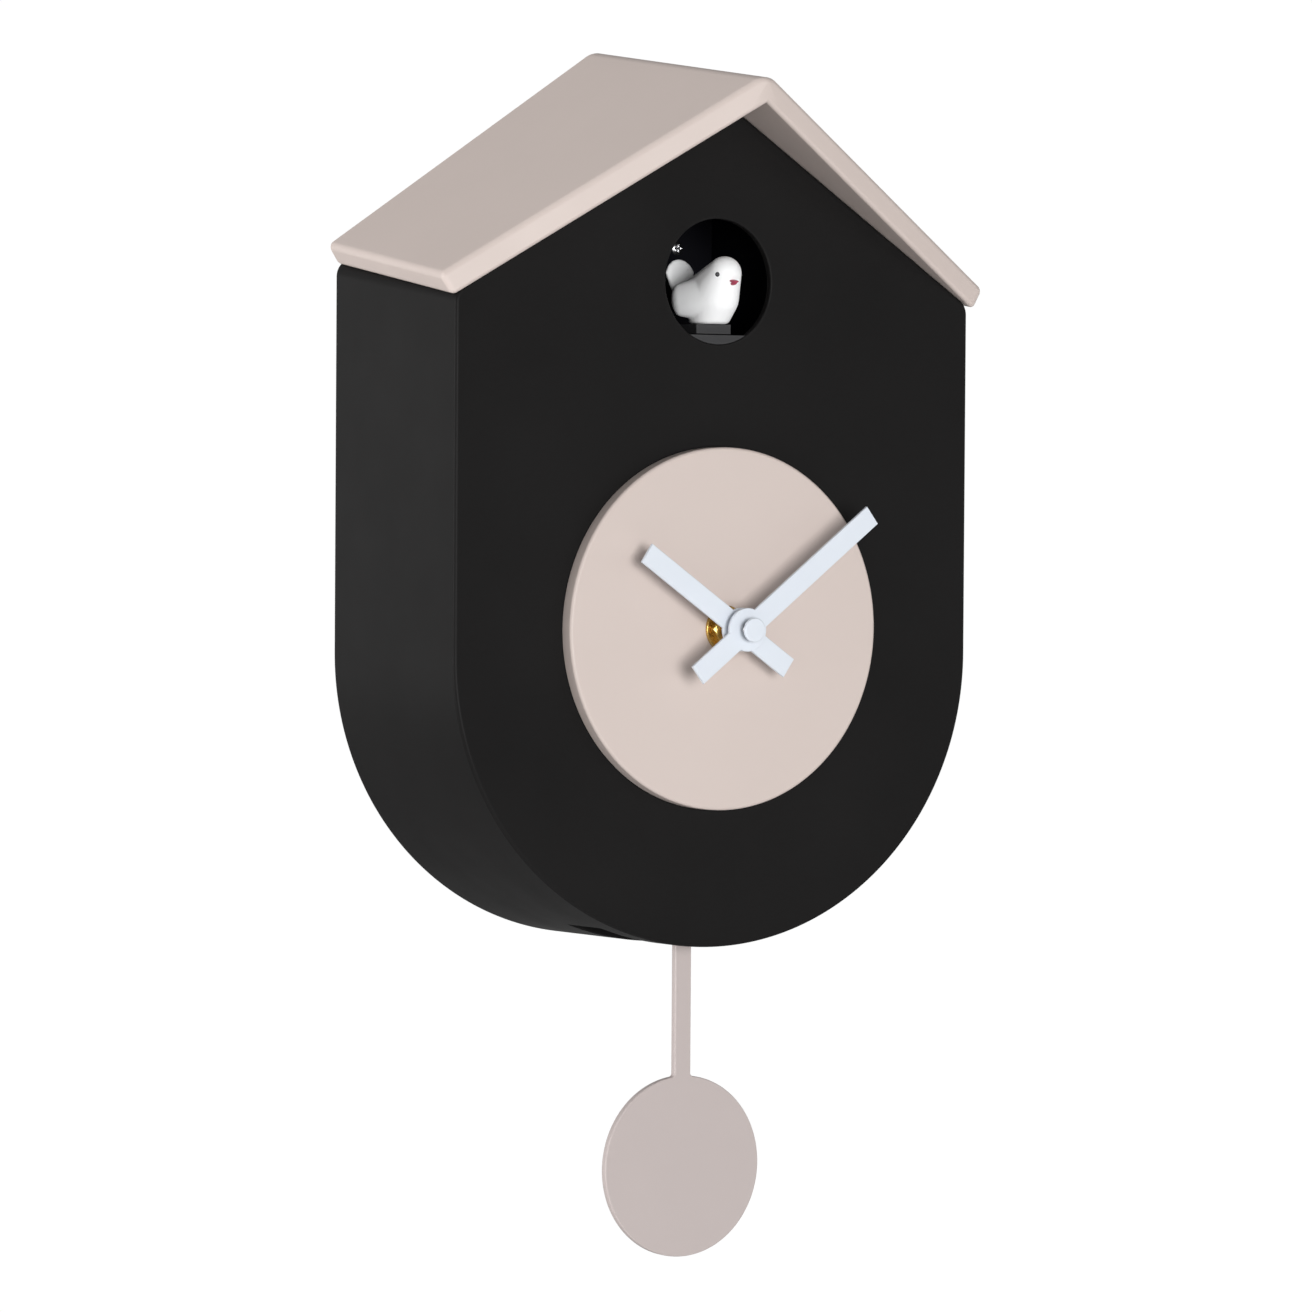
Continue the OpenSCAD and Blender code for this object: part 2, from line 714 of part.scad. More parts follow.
// Floor with a lip that closes the lowest part of the window.
module chamber_floor() {
    side = chamber_x - 1.5 - GAP;
    color([0.16, 0.16, 0.17]) hung() difference() {
        union() {
            block([-side, side], [wall + 0.1, chamber_y1 - 1.5 - GAP], [floor_z - floor_t, floor_z]);
            intersection() {
                at(0, window_z) rod_y(window_r - 0.1, [0.3, wall + 1]);
                block([-30, 30], [0, wall + 1], [window_z - 30, floor_z]);
            }
        }
        block([-3, 3], [7, 42], [floor_z - 5, floor_z + 1]);
    }
}

module chamber_screws() {
    color("silver") hung() for (s = [-1, 1]) at(s * 14, 140) {
        translate([0, chamber_y1 - 1.5, 0]) rotate([90, 0, 0]) cylinder(r1 = 3, r2 = 2.2, h = 1.4);
        rod_y(SCREW_R, [chamber_y1 - 1.6, chamber_y1 + 5]);
    }
}

module egg(p, size) {
    translate(p) scale(size) sphere(r = 1, $fn = 32);
}

// Plump bird facing the front, with an upright fan tail.
module bird_body() {
    color([0.95, 0.96, 0.97]) hung() union() {
        hull() {
            egg([0, 6.5, body_z], [9, 13.5, 8.5]);
            egg([0, -3.7, 130.1], [head_r, head_r, head_r]);
        }
        hull() {
            egg([0, 6.5, body_z], [6, 10, 6]);
            translate([0, 4.5, perch_z + 0.1]) cylinder(r = 5.6, h = 1, $fn = 32);
        }
        hull() {
            egg([0, 15, body_z + 1], [6, 4, 4]);
            for (x = [-5, 5]) egg([x, 23.5, 133], [2, 1.2, 3]);
        }
    }
}

module bird_beak() {
    color([0.72, 0.25, 0.35]) hung() translate([0, -8.9, 127])
        rotate([90, 0, 0]) scale([1, 0.7, 1]) cylinder(r1 = 1.7, r2 = 0.2, h = 2.6, $fn = 24);
}

module bird_eyes() {
    color([0.02, 0.02, 0.02]) hung() for (s = [-1, 1])
        translate([s * 5.3, -6.3, 129.5]) sphere(r = 0.85, $fn = 24);
}

// Perch block, neck, slide and toothed rack under the bird.
module bird_carriage() {
    pitch = PI * gear_module;
    color([0.22, 0.22, 0.24]) hung() difference() {
        union() {
            block([-6.9, 6.9], [2.9, 22], [floor_z + 0.4, perch_z]);
            block([-2.5, 2.5], [12, 18], [106, floor_z + 1]);
            block([-9, 9], [9, 25], [99, 106.4]);
            block([-3, 3], [10, 38], [rack_line_z + 1.1, 101]);
            for (k = [-6:2]) translate([-3, rack_gear_pos[0] + (k - 0.5) * pitch, rack_line_z])
                rotate([90, 0, 90]) linear_extrude(height = 6)
                    polygon([[-0.27 * pitch, 1.3], [-0.12 * pitch, -0.8], [0.12 * pitch, -0.8],
                        [0.27 * pitch, 1.3]]);
        }
        for (s = [-1, 1]) at(s * rod_x_off, rod_z) rod_y(1.5 + RUNNING, [8, 26]);
    }
}

module guide_rods() {
    color("silver") hung() for (s = [-1, 1]) at(s * rod_x_off, rod_z) rod_y(1.5, [2.8, 47.8]);
}

// Bracket that holds the guide rods, the rack gear's pin and the motor.
module drive_frame() {
    color([0.22, 0.22, 0.24]) hung() difference() {
        union() {
            for (y = [[wall + 0.1, 4.6], [46, 48]]) block([-12, 12], y, [75, 105.8]);
            block([4.5, 6.5], [4, 46.5], [75, 98]);
            translate([0, rack_gear_pos[0], rack_gear_pos[1]]) rod_x(1.5, [-4.5, 5]);
        }
        for (s = [-1, 1]) at(s * rod_x_off, rod_z) rod_y(1.51, [0, 50]);
        block([-4, 4], [45, 49], [rack_line_z - 2, 102]);
        translate([0, motor_pos[0], motor_pos[1]]) rod_x(3, [4, 7]);
    }
}

module rack_gear() {
    color([0.9, 0.9, 0.88]) hung() translate([0, rack_gear_pos[0], rack_gear_pos[1]]) difference() {
        translate([-3, 0, 0]) rotate([90, 0, 90]) linear_extrude(height = 6)
            gear_outline(rack_gear_teeth, gear_module, 90);
        rod_x(1.5 + RUNNING, [-4, 4]);
    }
}

module bird_motor() {
    color([0.6, 0.6, 0.63]) hung() translate([0, motor_pos[0], motor_pos[1]]) difference() {
        union() {
            rod_x(8, [6.6, 26]);
            rod_x(2.5, [26, 27.5]);
        }
        rod_x(1 + RUNNING, [6, 20]);
    }
}

// Pinion on the motor's shaft, in mesh with the rack gear.
module motor_pinion() {
    color([0.9, 0.9, 0.88]) hung() translate([0, motor_pos[0], motor_pos[1]]) {
        translate([-3, 0, 0]) rotate([90, 0, 90]) linear_extrude(height = 6)
            gear_outline(motor_teeth, gear_module, 180 / motor_teeth);
        rod_x(1, [0, 19]);
    }
}

case_shell();
roof();
case_screws();
dial_disc();
back_cover();
hanger_plate();
hanger_screws();
battery_door();
cell(0);  // battery_1
cell(1);  // battery_2
cell(2);  // battery_3
contact_springs();
contact_plates();
speaker_basket();
speaker_cone();
speaker_magnet();
main_board();
volume_pot();
volume_knob();
switch_body();
mode_slider();
chime_switch();
chime_button();
movement_case();
movement_cover();
movement_gasket();
threaded_bush();
dial_washer();
hex_nut();
hour_wheel();
hour_hand();
minute_arbor();
minute_hand();
cap_nut();
motion_wheel();
third_wheel();
fourth_wheel();
rotor();
stator();
stepper_coil();
set_shaft();
set_knob();
pendulum_bracket();
pendulum_pin();
pendulum_hanger();
pendulum_blade();
drive_magnet();
coil_board();
bird_chamber();
chamber_floor();
chamber_screws();
bird_body();
bird_beak();
bird_eyes();
bird_carriage();
guide_rods();
drive_frame();
rack_gear();
bird_motor();
motor_pinion();
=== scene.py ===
"""Looks for the wall-hung cuckoo clock: detailed pieces, procedural materials, studio light and camera."""
import json
import math

import bmesh
import bpy
from mathutils import Matrix, Vector


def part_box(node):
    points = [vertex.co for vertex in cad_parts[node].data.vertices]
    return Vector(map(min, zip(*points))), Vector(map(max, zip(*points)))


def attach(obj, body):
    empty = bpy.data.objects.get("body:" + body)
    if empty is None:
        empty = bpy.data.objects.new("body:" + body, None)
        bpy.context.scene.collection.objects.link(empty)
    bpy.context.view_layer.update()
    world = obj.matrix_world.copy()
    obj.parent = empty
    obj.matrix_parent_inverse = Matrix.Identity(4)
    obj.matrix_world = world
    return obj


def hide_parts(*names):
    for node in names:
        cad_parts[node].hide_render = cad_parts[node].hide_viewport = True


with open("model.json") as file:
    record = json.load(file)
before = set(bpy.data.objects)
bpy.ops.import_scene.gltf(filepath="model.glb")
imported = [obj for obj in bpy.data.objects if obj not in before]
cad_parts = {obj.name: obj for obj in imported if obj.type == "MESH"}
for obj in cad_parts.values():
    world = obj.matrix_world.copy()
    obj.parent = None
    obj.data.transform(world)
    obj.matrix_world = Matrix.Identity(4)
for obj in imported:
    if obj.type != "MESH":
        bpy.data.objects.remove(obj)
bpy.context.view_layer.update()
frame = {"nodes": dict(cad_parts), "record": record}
NODES = frame["nodes"]

# ---- driving sizes, in millimetres from the centre of the case's arch on its front face ----

MM = 0.001
ARCH_H = 99.5
APEX_Z = 190.5
ROOF_PITCH = math.radians(33.4)
ROOF_FALL = math.radians(7.5)
ROOF_T = 8.4
ROOF_FRONT_HALF = 108.0
ROOF_BACK_HALF = 105.5
RIDGE_REACH = 30.0
EAVE_REACH = 1.0
WALL = 2.5
WINDOW_R = 21.4
WINDOW_Z = 127.4
PERCH_Z = 113.0
BUSH_HOLE_R = 4.2
HAND_W = 7.4
HAND_T = 1.3
TIME_HOURS = 10
TIME_MINUTES = 8.75
SCREW_HEAD_R = 2.6
SCREW_R = 1.25
AXIS_R = 0.01

case_low, case_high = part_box("case_shell")
FRONT_Y = case_low.y / MM
ARCH_Z = case_low.z / MM + ARCH_H
CASE_HALF = case_high.x / MM
CASE_D = (case_high.y - case_low.y) / MM


def spot(x, y, z):
    """A point given in the case's millimetres, in the frame's metres."""
    return Vector((x * MM, (y + FRONT_Y) * MM, (z + ARCH_Z) * MM))


def span(node):
    """Lowest and highest corners of a CAD node in the case's millimetres."""
    low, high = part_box(node)
    shift = Vector((0, FRONT_Y, ARCH_Z))
    return low / MM - shift, high / MM - shift


DIAL_LOW, DIAL_HIGH = span("dial_disc")
DIAL_Z = (DIAL_LOW.z + DIAL_HIGH.z) / 2
DIAL_R = (DIAL_HIGH.x - DIAL_LOW.x) / 2
DIAL_FRONT = DIAL_LOW.y

# ---- materials: depths and widths in millimetres ----

# width of the lighter edges: wear, and on the black case also a painted highlight
WEAR_AND_HIGHLIGHT_WIDTH = 1.2
EDGE_ROUND = 0.3
GRAIN_DEPTH = 0.1
LIGHT_DEPTH = 2.0
BEVEL_SAMPLES = 4


def noise(tree, place, scale, detail):
    """A soft random pattern fixed to the object."""
    node = tree.nodes.new("ShaderNodeTexNoise")
    node.inputs["Scale"].default_value = scale
    node.inputs["Detail"].default_value = detail
    tree.links.new(place, node.inputs["Vector"])
    return node.outputs["Fac"]


def remap(tree, source, low, high, start=0.3, end=0.7):
    """Turns start..end into low..high and holds the value beyond both ends."""
    node = tree.nodes.new("ShaderNodeMapRange")
    node.inputs["From Min"].default_value = start
    node.inputs["From Max"].default_value = end
    node.inputs["To Min"].default_value = low
    node.inputs["To Max"].default_value = high
    tree.links.new(source, node.inputs["Value"])
    return node.outputs["Result"]


def math_node(tree, operation, *sources):
    """One arithmetic step on one or two values."""
    node = tree.nodes.new("ShaderNodeMath")
    node.operation = operation
    for socket, source in zip(node.inputs, sources):
        tree.links.new(source, socket)
    return node.outputs["Value"]


def mix(tree, share, first, second):
    """A blend of two colours, each a tuple or an output of another node."""
    node = tree.nodes.new("ShaderNodeMix")
    node.data_type = "RGBA"
    tree.links.new(share, node.inputs["Factor"])
    for socket, value in ((node.inputs["A"], first), (node.inputs["B"], second)):
        if isinstance(value, tuple):
            socket.default_value = (*value, 1)
        else:
            tree.links.new(value, socket)
    return node.outputs["Result"]


def bevel(tree, radius):
    """The surface's direction as if its edges had that radius."""
    node = tree.nodes.new("ShaderNodeBevel")
    node.samples = BEVEL_SAMPLES
    node.inputs["Radius"].default_value = radius * MM
    return node.outputs["Normal"]


def wear_and_edge_highlight(tree, place, wear_and_highlight):
    """How much each spot is lightened: up to the given amount on the edges, in patches, and nothing on the
    flats; this is wear, and on the black case also a painted highlight along its edges.
    """
    dot = tree.nodes.new("ShaderNodeVectorMath")
    dot.operation = "DOT_PRODUCT"
    tree.links.new(bevel(tree, WEAR_AND_HIGHLIGHT_WIDTH), dot.inputs[0])
    tree.links.new(tree.nodes.new("ShaderNodeNewGeometry").outputs["Normal"], dot.inputs[1])
    edge = remap(tree, dot.outputs["Value"], 0, wear_and_highlight, start=0.99, end=0.80)
    patches = remap(tree, noise(tree, place, 220, 5), 0.2, 1)
    return math_node(tree, "MULTIPLY", edge, patches)


def grained(tree, place, strength, scale):
    """The surface's direction with fine grain and slightly rounded edges."""
    bump = tree.nodes.new("ShaderNodeBump")
    tree.links.new(bevel(tree, EDGE_ROUND), bump.inputs["Normal"])
    bump.inputs["Strength"].default_value = strength
    bump.inputs["Distance"].default_value = GRAIN_DEPTH * MM
    tree.links.new(noise(tree, place, scale, 3), bump.inputs["Height"])
    return bump.outputs["Normal"]


def shader(name, base, rough, metallic=0.0, mottle=0.06, mottle_scale=35, grain=0.15, grain_scale=1500,
           rough_swing=0.08, wear_and_highlight=0.0, wear_and_highlight_colour=(0.8, 0.8, 0.8), coat=0.0, subsurface=0.0, shine=0.5):
    """A finish with colour mottling, fine grain, uneven gloss and, where set, lighter edges: rubbed wear,
    and on the black case also a painted edge highlight.
    """
    mat = bpy.data.materials.new(name)
    mat.use_nodes = True
    tree = mat.node_tree
    bsdf = tree.nodes["Principled BSDF"]
    bsdf.inputs["Metallic"].default_value = metallic
    bsdf.inputs["Specular IOR Level"].default_value = shine
    bsdf.inputs["Coat Weight"].default_value = coat
    bsdf.inputs["Subsurface Weight"].default_value = subsurface
    bsdf.inputs["Subsurface Radius"].default_value = (LIGHT_DEPTH * MM,) * 3
    place = tree.nodes.new("ShaderNodeTexCoord").outputs["Object"]
    dark = tuple(c * (1 - mottle) for c in base)
    light = tuple(min(1.0, c * (1 + mottle)) for c in base)
    colour = mix(tree, remap(tree, noise(tree, place, mottle_scale, 4), 0, 1), dark, light)
    if wear_and_highlight:
        # lighter edges: wear, and on the black case also a painted edge highlight
        colour = mix(tree, wear_and_edge_highlight(tree, place, wear_and_highlight), colour, wear_and_highlight_colour)
    tree.links.new(colour, bsdf.inputs["Base Color"])
    gloss = remap(tree, noise(tree, place, mottle_scale * 3, 5), rough - rough_swing, rough + rough_swing)
    tree.links.new(gloss, bsdf.inputs["Roughness"])
    tree.links.new(grained(tree, place, grain, grain_scale), bsdf.inputs["Normal"])
    return mat


SAND = (0.62, 0.53, 0.49)
RUBBED_SAND = (0.70, 0.61, 0.57)
LOOKS = {
    # the case's lighter edge colour is partly wear and partly a painted highlight along its edges
    "case_black": dict(base=(0.0106, 0.0101, 0.0101), rough=0.45, mottle=0.12, mottle_scale=14, grain=0.25,
                       grain_scale=2600, rough_swing=0.03, wear_and_highlight=0.35, wear_and_highlight_colour=(0.05, 0.05, 0.05),
                       shine=0.07),
    "roof_sand": dict(base=SAND, rough=0.55, mottle=0.012, mottle_scale=18, grain=0.2, grain_scale=2200,
                      rough_swing=0.04, wear_and_highlight=0.25, wear_and_highlight_colour=RUBBED_SAND),
    "dial_sand": dict(base=SAND, rough=0.55, mottle=0.01, mottle_scale=16, grain=0.2, grain_scale=2200,
                      rough_swing=0.04, wear_and_highlight=0.2, wear_and_highlight_colour=RUBBED_SAND),
    "pendulum_sand": dict(base=(0.505, 0.44, 0.425), rough=0.5, mottle=0.012, mottle_scale=22, grain=0.2,
                          grain_scale=2200, wear_and_highlight=0.2, wear_and_highlight_colour=RUBBED_SAND),
    "hand_white": dict(base=(0.71, 0.755, 0.82), rough=0.38, mottle=0.01, grain=0.12, grain_scale=900),
    "brass": dict(base=(0.62, 0.41, 0.12), rough=0.24, metallic=1.0, mottle=0.12, mottle_scale=300,
                  grain=0.3, grain_scale=2500),
    "steel": dict(base=(0.62, 0.62, 0.63), rough=0.28, metallic=1.0, mottle=0.1, mottle_scale=300,
                  grain=0.3, grain_scale=3000),
    "back_black": dict(base=(0.022, 0.022, 0.023), rough=0.6, mottle=0.15, mottle_scale=25, grain=0.8,
                       grain_scale=1400, wear_and_highlight=0.4, wear_and_highlight_colour=(0.07, 0.07, 0.07)),
    "inner_grey": dict(base=(0.045, 0.045, 0.05), rough=0.5, mottle=0.12, grain=0.4, wear_and_highlight=0.4,
                       wear_and_highlight_colour=(0.11, 0.11, 0.11)),
    "gear_white": dict(base=(0.78, 0.77, 0.72), rough=0.42, mottle=0.04, grain=0.2, subsurface=0.1),
    "cell_wrap": dict(base=(0.06, 0.13, 0.26), rough=0.3, mottle=0.08, grain=0.1, coat=0.5),
    "board_green": dict(base=(0.02, 0.13, 0.05), rough=0.4, mottle=0.2, mottle_scale=180, grain=0.3,
                        coat=0.3),
    "magnet": dict(base=(0.12, 0.12, 0.125), rough=0.55, mottle=0.25, mottle_scale=260, grain=0.7),
    "cone": dict(base=(0.035, 0.034, 0.033), rough=0.85, mottle=0.3, mottle_scale=600, grain=1.0,
                 grain_scale=3500),
    "rubber": dict(base=(0.02, 0.02, 0.02), rough=0.75, mottle=0.2, grain=0.6),
    "copper": dict(base=(0.60, 0.27, 0.12), rough=0.3, metallic=1.0, mottle=0.15, mottle_scale=400,
                   grain=0.8, grain_scale=5000),
    "bird_white": dict(base=(0.96, 0.965, 0.97), rough=0.55, mottle=0.015, grain=0.25, grain_scale=1200,
                       subsurface=0.15),
    "beak_red": dict(base=(0.42, 0.05, 0.10), rough=0.4, mottle=0.1, mottle_scale=900, grain=0.2),
    "eye_black": dict(base=(0.008, 0.008, 0.008), rough=0.12, mottle=0.1, grain=0.05, rough_swing=0.03,
                      coat=0.8),
    "chamber_black": dict(base=(0.002, 0.002, 0.004), rough=0.6, mottle=0.2, grain=0.3, shine=0.1),
    "floor_grey": dict(base=(0.024, 0.024, 0.026), rough=0.45, mottle=0.12, grain=0.3, wear_and_highlight=0.4,
                       wear_and_highlight_colour=(0.08, 0.08, 0.08)),
}
FINISH = {name: shader(name, **look) for name, look in LOOKS.items()}
MADE = []
SLOT_OF = {row["node"]: row["material_slot"] for row in frame["record"]["subparts"]}

# ---- mesh helpers: every builder works in the case's millimetres ----


def piece(name, verts, faces, body, node, smooth_angle=35):
    """Makes a mesh piece that rides on body, stands for a CAD node and takes that node's finish."""
    mesh = bpy.data.meshes.new(name)
    mesh.from_pydata([spot(*v) for v in verts], [], faces)
    mesh.validate()
    obj = bpy.data.objects.new(name, mesh)
    bpy.context.scene.collection.objects.link(obj)
    dress(obj, SLOT_OF[node], smooth_angle)
    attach(obj, body)
    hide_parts(node)
    MADE.append(obj)
    return obj


def dress(obj, slot, smooth_angle=35):
    """Sets the finish, turns the faces outwards and smooths all but the sharp edges."""
    obj.data.materials.clear()
    obj.data.materials.append(FINISH[slot])
    bm = bmesh.new()
    bm.from_mesh(obj.data)
    bmesh.ops.remove_doubles(bm, verts=bm.verts, dist=1e-7)
    bmesh.ops.recalc_face_normals(bm, faces=bm.faces)
    bm.to_mesh(obj.data)
    bm.free()
    obj.data.shade_smooth()
    obj.data.set_sharp_from_angle(angle=math.radians(smooth_angle))


def ring_faces(n, first, second):
    """Quads between two loops of n vertices that start at those indices."""
    return [(first + i, first + (i + 1) % n, second + (i + 1) % n, second + i) for i in range(n)]


def skin(loops, capped=True):
    """Vertices and quads that join closed loops of equal length, with flat ends where capped."""
    n = len(loops[0])
    verts = [p for loop in loops for p in loop]
    faces = [face for k in range(len(loops) - 1) for face in ring_faces(n, k * n, (k + 1) * n)]
    if capped:
        faces.append(tuple(reversed(range(n))))
        faces.append(tuple(range(len(verts) - n, len(verts))))
    return verts, faces


def wrapped(loops):
    """A skin whose last loop joins its first, as round a ring."""
    verts, faces = skin(loops, capped=False)
    n = len(loops[0])
    return verts, faces + ring_faces(n, len(verts) - n, 0)


def circle(steps):
    """Equal angles round a full turn."""
    return [2 * math.pi * i / steps for i in range(steps)]


def turned(profile, x, z, steps=96):
    """A closed profile of (radius, depth) points turned about a line along Y, which it may not touch."""
    return wrapped([[(x + r * math.cos(a), y, z + r * math.sin(a)) for a in circle(steps)]
                    for r, y in profile])


def rounding(radius, degrees):
    """Inset and depth of a rounded edge at each angle: 90 is the face and 0 is the side."""
    turns = [math.radians(a) for a in degrees]
    return [(radius * (1 - math.cos(t)), radius * (1 - math.sin(t))) for t in turns]


def arc(cx, cy, r, start, end, steps):
    """Points of a circular arc, angles in degrees."""
    return [(cx + r * math.cos(math.radians(start + (end - start) * k / steps)),
             cy + r * math.sin(math.radians(start + (end - start) * k / steps))) for k in range(steps + 1)]


def merge(*parts):
    """One vertex and face list from several."""
    verts, faces = [], []
    for v, f in parts:
        base = len(verts)
        verts += v
        faces += [tuple(i + base for i in face) for face in f]
    return verts, faces


def placed(part, centre, facing):
    """A part built about the origin looking along -Y, turned to look along facing and moved to centre."""
    turn = Vector((0, -1, 0)).rotation_difference(Vector(facing))
    verts, faces = part
    return [tuple(turn @ Vector(v) + Vector(centre)) for v in verts], faces


def lump(centre, size, lean=0.0):
    """An ellipsoid with half-sizes size, its back end dipped by lean degrees."""
    steps = 32
    rows = [math.pi * (k + 0.5) / (steps // 2) for k in range(steps // 2)]
    wide, deep, tall = size
    loops = [[(wide * math.sin(t) * math.cos(a), -deep * math.cos(t), tall * math.sin(t) * math.sin(a))
              for a in circle(steps)] for t in rows]
    turn = Matrix.Rotation(math.radians(-lean), 3, "X")
    verts, faces = skin(loops)
    return [tuple(turn @ Vector(v) + Vector(centre)) for v in verts], faces


def cutter(verts, faces):
    """A bare mesh object for a boolean."""
    mesh = bpy.data.meshes.new("cutter")
    mesh.from_pydata([spot(*v) for v in verts], [], faces)
    obj = bpy.data.objects.new("cutter", mesh)
    bpy.context.scene.collection.objects.link(obj)
    bm = bmesh.new()
    bm.from_mesh(mesh)
    bmesh.ops.recalc_face_normals(bm, faces=bm.faces)
    bm.to_mesh(mesh)
    bm.free()
    return obj


def bake(obj):
    """Applies the object's modifiers to its mesh."""
    graph = bpy.context.evaluated_depsgraph_get()
    mesh = bpy.data.meshes.new_from_object(obj.evaluated_get(graph))
    obj.modifiers.clear()
    obj.data = mesh


def combine(obj, other, operation="DIFFERENCE"):
    """Applies a boolean with another object, which is then removed."""
    mod = obj.modifiers.new("boolean", "BOOLEAN")
    mod.operation = operation
    mod.solver = "EXACT"
    mod.object = other
    bake(obj)
    bpy.data.objects.remove(other)


def melt(obj, grain, passes):
    """Joins overlapping lumps into one skin and softens the creases where they meet."""
    join = obj.modifiers.new("join", "REMESH")
    join.mode = "VOXEL"
    join.voxel_size = grain * MM
    soften = obj.modifiers.new("soften", "SMOOTH")
    soften.factor = 0.5
    soften.iterations = passes
    bake(obj)


def box_part(x, y, z):
    """A plain box between two values on each axis."""
    verts = [(x[i], y[j], z[k]) for i in (0, 1) for j in (0, 1) for k in (0, 1)]
    faces = [(0, 1, 3, 2), (4, 6, 7, 5), (0, 4, 5, 1), (2, 3, 7, 6), (0, 2, 6, 4), (1, 5, 7, 3)]
    return verts, faces


# ---- case ----

COVER_POSTS = ((-78, 108), (78, 108), (-84, -30), (84, -30))
GABLE = math.tan(ROOF_PITCH) / math.cos(ROOF_FALL)
FALL = math.tan(ROOF_FALL)
SHOULDER_R = 6.0
FRONT_EDGE_R = 1.3
WINDOW_EDGE_R = 0.5
BACK_CHAMFER = 0.4


def case_loop(inset, y):
    """The case's outline at depth y, inset from its outer wall: half-ellipse, sides, shoulders, gable."""
    half = CASE_HALF - inset
    low = ARCH_H - inset
    slope = math.atan(GABLE)
    top = APEX_Z - inset / math.cos(slope) + FALL * y
    r = max(SHOULDER_R - inset, 1.0)
    centre_x = half - r
    centre_z = top - GABLE * (half - r) - r / math.cos(slope)
    right = arc(centre_x, centre_z, r, 0, 90 - math.degrees(slope), 10)
    right += [(x, top - GABLE * x) for x in (half * 0.6, half * 0.3)]
    arch = [(-half * math.cos(a), -low * math.sin(a)) for a in (math.pi * i / 128 for i in range(129))]
    outline = arch + [(half, centre_z * 0.5)] + right + [(0, top)]
    outline += [(-x, z) for x, z in reversed(right)] + [(-half, centre_z * 0.5)]
    return [(x, y, z) for x, z in outline]


def window_cutter():
    """A plug for the round window, flared to leave a softly rounded front edge."""
    wide = WINDOW_R + WINDOW_EDGE_R
    rim = [(AXIS_R, -2), (wide, -2), (wide, 0)]
    for degrees in (15, 30, 45, 60, 75, 90):
        t = math.radians(degrees)
        rim.append((wide - WINDOW_EDGE_R * math.sin(t), WINDOW_EDGE_R - WINDOW_EDGE_R * math.cos(t)))
    rim += [(WINDOW_R, WALL + 2), (AXIS_R, WALL + 2)]
    return cutter(*turned(rim, 0, WINDOW_Z, 128))


def bush_cutter():
    """A plug for the hole in the front wall behind the middle of the dial."""
    return cutter(*turned([(AXIS_R, -2), (BUSH_HOLE_R, -2), (BUSH_HOLE_R, 6), (AXIS_R, 6)], 0, DIAL_Z, 48))


def slot_cutter():
    """A block for the slot in the underside that the pendulum swings in."""
    slot_half = 38
    slot_front = 12
    slot_back = 34
    slot_top = -74
    return cutter(*box_part((-slot_half, slot_half), (slot_front, slot_back), (-ARCH_H - 5, slot_top)))


def cover_post(x, z):
    """A tube on the inside of the front wall that takes one of the cover's screws."""
    inner_r = 1.3
    outer_r = 4
    start = 1.8
    end = 72
    return cutter(*turned([(inner_r, start), (outer_r, start), (outer_r, end), (inner_r, end)], x, z, 32))


def make_case():
    """One moulding: rounded front edge, thin walls, window, dial hole, pendulum slot and screw posts."""
    outer = [case_loop(inset, y) for inset, y in rounding(FRONT_EDGE_R, (90, 75, 60, 45, 30, 15, 0))]
    outer += [case_loop(0, CASE_D - BACK_CHAMFER), case_loop(BACK_CHAMFER, CASE_D)]
    inner = [case_loop(WALL, CASE_D), case_loop(WALL, WALL)]
    shell = piece("case_shell_skin", *skin(outer + inner), "case", "case_shell")
    combine(shell, window_cutter())
    combine(shell, bush_cutter())
    combine(shell, slot_cutter())
    for x, z in COVER_POSTS:
        combine(shell, cover_post(x, z), "UNION")
    dress(shell, "case_black")


make_case()

# ---- roof ----

ROOF_GAP = 0.05
RIDGE_ROUND = 7.8
TOP_ROUND = 2.4
TOE_ROUND = 2.0
NOSE_ROUND = 1.9
BACK_ROUND = 2.0


def rounded(before, at, after, r):
    """Points of an arc of radius r in place of the sharp corner at a point."""
    steps = 8
    u = (before - at).normalized()
    v = (after - at).normalized()
    half = u.angle(v) / 2
    centre = at + (u + v).normalized() * (r / math.sin(half))
    start = at + u * (r / math.tan(half)) - centre
    side = 1 if u.x * v.y - u.y * v.x < 0 else -1
    sweep = side * (math.pi - 2 * half)
    return [centre + Matrix.Rotation(sweep * k / steps, 2) @ start for k in range(steps + 1)]


def roof_half(inset, half_w):
    """Right half of the roof's upright section, inset from its skin: ridge, top, eave, underside."""
    slope = math.atan(GABLE)
    out = Vector((math.sin(slope), math.cos(slope)))
    along = Vector((math.cos(slope), -math.sin(slope)))
    thick = ROOF_T / math.cos(ROOF_PITCH) / math.cos(ROOF_FALL)
    depth = thick / 2 * math.cos(slope) - inset
    end = Vector((half_w, thick / 2 - GABLE * half_w)) - along * inset
    apex = Vector((0, thick - inset / math.cos(slope)))
    low = Vector((0, inset / math.cos(slope)))
    top = end + out * depth
    foot = end - out * depth
    ridge = rounded(Vector((-top.x, top.y)), apex, top, max(RIDGE_ROUND - inset, 0.3))[4:]
    shoulder = rounded(apex, top, foot, max(TOP_ROUND - inset, 0.3))
    toe = rounded(top, foot, low, max(TOE_ROUND - inset, 0.3))
    upper = [ridge[-1].lerp(shoulder[0], k / 16) for k in range(1, 16)]
    under = [toe[-1].lerp(low, k / 20) for k in range(1, 21)]
    return ridge + upper + shoulder + toe + under


